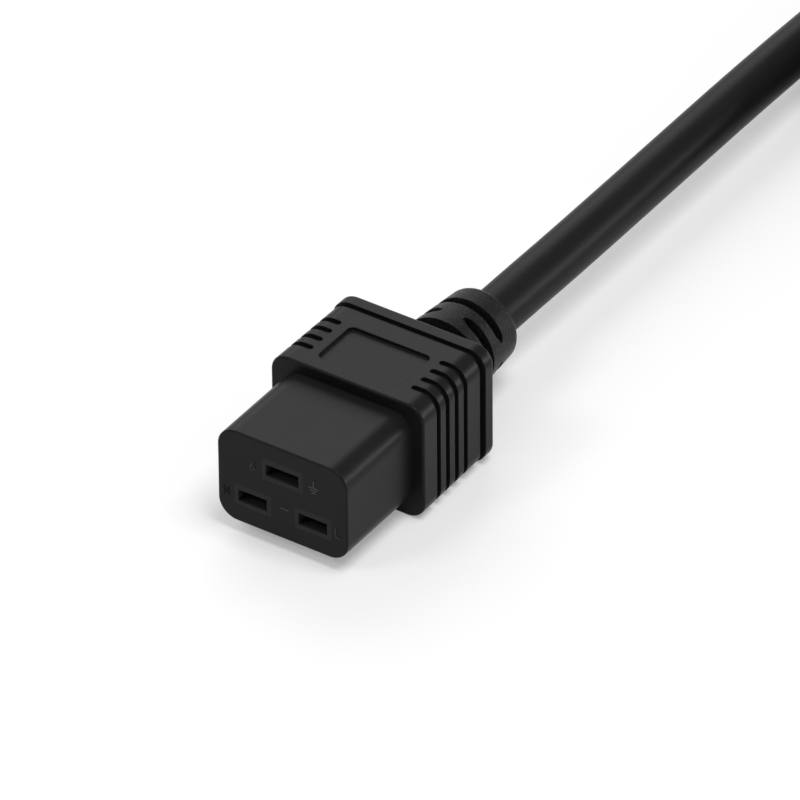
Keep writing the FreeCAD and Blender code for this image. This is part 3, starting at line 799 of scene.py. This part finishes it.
# %% Lap and sew the free end
def sewn_lap(tree, rib):
    """The free end on top of the band, its ribs, and a row of stitches near each side."""
    width, thickness = tree.size("Strap Width"), tree.size("Thickness")
    length = tree.size("Lap Length")
    top = tree.times(tree.size("Loop Height"), 0.5)
    middle = tree.maths("ADD", top, tree.times(thickness, LAP_THICKNESS / 2))
    lap = tree.block(tree.vector(length, tree.times(thickness, LAP_THICKNESS), width))
    half = tree.times(length, 0.5)
    spine = tree.line(tree.vector(tree.times(half, -1.0), middle), tree.vector(half, middle))
    made = [
        tree.moved(lap, tree.vector(y=middle)),
        tree.along(spine, tree.size("Rib Pitch"), rib),
    ]
    thread = tree.block(tree.vector(*THREAD_SIZE))
    height = tree.maths("ADD", top, tree.times(thickness, SEAM_HEIGHT))
    for side in (-SEAM_SIDE, SEAM_SIDE):
        reach = tree.times(length, SEAM_REACH)
        depth = tree.times(width, side)
        start = tree.vector(tree.times(reach, -1.0), height, depth)
        seam = tree.line(start, tree.vector(reach, height, depth))
        made.append(tree.along(seam, tree.size("Stitch Pitch"), thread))
    return made


print("stitches lie", round(STRAP_INPUTS["Stitch Pitch"] / MM, 2), "mm apart")

# %% Make the strap's finish
YARN = 0.18 * MM
FADED_PATCH = 5 * MM


def woven_polyester():
    finish = Finish("strap_weave", IOR=1.4)
    yarn = finish.noise(YARN, detail=3.0, roughness=0.7)
    fade = finish.noise(FADED_PATCH)
    mottle = yarn * 0.7 + fade * 0.3
    colour = finish.between(mottle, (0.008, 0.008, 0.009), (0.035, 0.035, 0.037))
    finish.drive("Base Color", colour)
    finish.drive("Roughness", yarn * 0.15 + 0.72)
    finish.relief(yarn, depth=0.06 * MM, edge=0.05 * MM)
    return finish.material


STRAP_WEAVE = woven_polyester()
print("strap:", STRAP_WEAVE.name)


# %% Join the strap's parts in one tree
def strap_tree():
    tree = Tree("woven_strap", STRAP_INPUTS)
    rib = weft_rib(tree)
    parts = woven_band(tree, rib) + sewn_lap(tree, rib)
    joined = tree.node("GeometryNodeJoinGeometry", None, {0: parts})
    plain = tree.node("GeometryNodeRealizeInstances", None, {0: joined})
    sockets = {"Geometry": plain, "Material": STRAP_WEAVE}
    woven = tree.node("GeometryNodeSetMaterial", None, sockets)
    tree.tree.links.new(woven, tree.result.inputs[0])
    return tree


strap_nodes = strap_tree()
print("the strap's tree has", len(strap_nodes.tree.nodes), "nodes")


# %% Tie the coil
def tie_strap(node):
    """Make a woven strap where a construction strap is, turned to its place round the coil."""
    low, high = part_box(node)
    middle = (low + high) / 2
    outward = Vector((middle.x - coil_middle.x, middle.y - coil_middle.y, 0)).normalized()
    maker = put_in_scene(node + "_maker", bpy.data.meshes.new(node + "_start"))
    modifier = maker.modifiers.new("strap", "NODES")
    modifier.node_group = strap_nodes.tree
    modifier[strap_nodes.identifiers["Loop Height"]] = high.z - low.z
    depsgraph = bpy.context.evaluated_depsgraph_get()
    strap = bpy.data.meshes.new_from_object(maker.evaluated_get(depsgraph))
    bpy.data.objects.remove(maker)
    upward = Vector((0, 0, 1))
    turn = Matrix((outward, upward, outward.cross(upward))).transposed().to_4x4()
    ring_middle = coil_middle + outward * (OUTER_STRAND - CORD_DIAMETER)
    strap.transform(Matrix.Translation((ring_middle.x, ring_middle.y, middle.z)) @ turn)
    piece = add_piece(node.replace("coil_strap", "woven_strap"), strap, STRAP_WEAVE)
    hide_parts(node)
    print(piece.name, "has", len(strap.polygons), "faces")
    return piece


straps = [tie_strap("coil_strap_front"), tie_strap("coil_strap_rear")]

# %% [markdown]
# What belongs to the cord
#
# The cord carries the plug at its far end and the straps round its coil.

# %% [markdown]
# The floor
#
# The floor is pale and seamless and takes real shadows. A white floor could be had by pouring more
# light on it, but that would wash out the object. Instead a share of the floor's colour glows, only
# for what the camera and reflections see, so that it is nearly white and keeps its shadows. The
# share grows with distance, because the lamps reach only the middle of the floor.

# %% Lay the floor
FLOOR_COLOUR = (0.95, 0.95, 0.95, 1.0)
FLOOR_REACH = 4.0
FLOOR_GLOW = 0.3
GLOW_GROWS_FROM, GLOW_IS_FULL_AT = 0.3, 1.5


def floor_finish():
    finish = Finish("studio_floor", Roughness=0.9, Specular_IOR_Level=0.0, Base_Color=FLOOR_COLOUR)
    rays = ("Is Camera Ray", "Is Glossy Ray", "Is Transmission Ray")
    seen = sum(finish.node("ShaderNodeLightPath", output=ray) for ray in rays)
    sockets = {0: finish.position()}
    away = finish.node("ShaderNodeVectorMath", {"operation": "LENGTH"}, sockets, "Value")
    sockets = {
        "Value": away,
        "From Min": GLOW_GROWS_FROM,
        "From Max": GLOW_IS_FULL_AT,
        "To Min": FLOOR_GLOW,
    }
    share = finish.node("ShaderNodeMapRange", {"interpolation_type": "SMOOTHSTEP"}, sockets)
    white = {"Color": (1.0, 1.0, 1.0, 1.0), "Strength": 1.0}
    glow = finish.node("ShaderNodeEmission", None, white)
    matt = Value(finish, finish.shader.outputs[0])
    mixed = finish.node("ShaderNodeMixShader", None, {0: seen * share, 1: matt, 2: glow})
    finish.feed(finish.tree.nodes["Material Output"].inputs["Surface"], mixed)
    return finish.material


def studio_floor():
    mesh = bpy.data.meshes.new("studio_floor")
    sides = ((-1, -1), (1, -1), (1, 1), (-1, 1))
    corners = [(x * FLOOR_REACH, y * FLOOR_REACH, 0) for x, y in sides]
    mesh.from_pydata(corners, [], [(0, 1, 2, 3)])
    mesh.materials.append(floor_finish())
    floor = put_in_scene("studio_floor", mesh)
    return floor


print("floor:", studio_floor().name)

# %% [markdown]
# The light
#
# Black plastic is lit by what it reflects, so each lamp hangs where one kind of face mirrors it. A
# very large soft box behind and to the left is mirrored in every top face and along the top of the
# cord. A small one in front picks out the rims of the face and fills the grooves. One overhead
# keeps the shadows short. A long low one behind and to the right is mirrored in the lower half of
# the cord, and sends the shadow under the nose forward. The rest of the room is dim, which leaves
# the rounded corners dark.


# %% Hang the soft boxes
def soft_box(name, place, width, height, brightness):
    """A flat lamp that faces the object; brightness is that of its own surface."""
    data = bpy.data.lights.new(name, "AREA")
    data.shape = "RECTANGLE"
    data.size, data.size_y = width, height
    data.energy = brightness * math.pi * width * height
    lamp = put_in_scene(name, data)
    turn = (-Vector(place)).to_track_quat("-Z", "Y").to_matrix().to_4x4()
    lamp.matrix_world = Matrix.Translation(place) @ turn
    return lamp


def dim_room(level):
    world = bpy.data.worlds.new("dim_room")
    world.use_nodes = True
    background = world.node_tree.nodes["Background"]
    background.inputs["Color"].default_value = (1.0, 1.0, 1.0, 1.0)
    background.inputs["Strength"].default_value = level
    bpy.context.scene.world = world


lamps = [
    soft_box("box_behind", (-0.86, 0.84, 0.82), width=1.2, height=1.0, brightness=2.4),
    soft_box("box_in_front", (-0.50, -0.75, 0.95), width=0.32, height=0.32, brightness=8.0),
    soft_box("box_overhead", (0.38, -0.05, 1.22), width=0.6, height=0.6, brightness=9.0),
    soft_box("box_low", (0.98, 0.93, 0.10), width=1.3, height=0.5, brightness=8.5),
]
dim_room(0.2)
bpy.context.scene.view_settings.view_transform = "Standard"
print("lamps:", ", ".join(lamp.name for lamp in lamps))
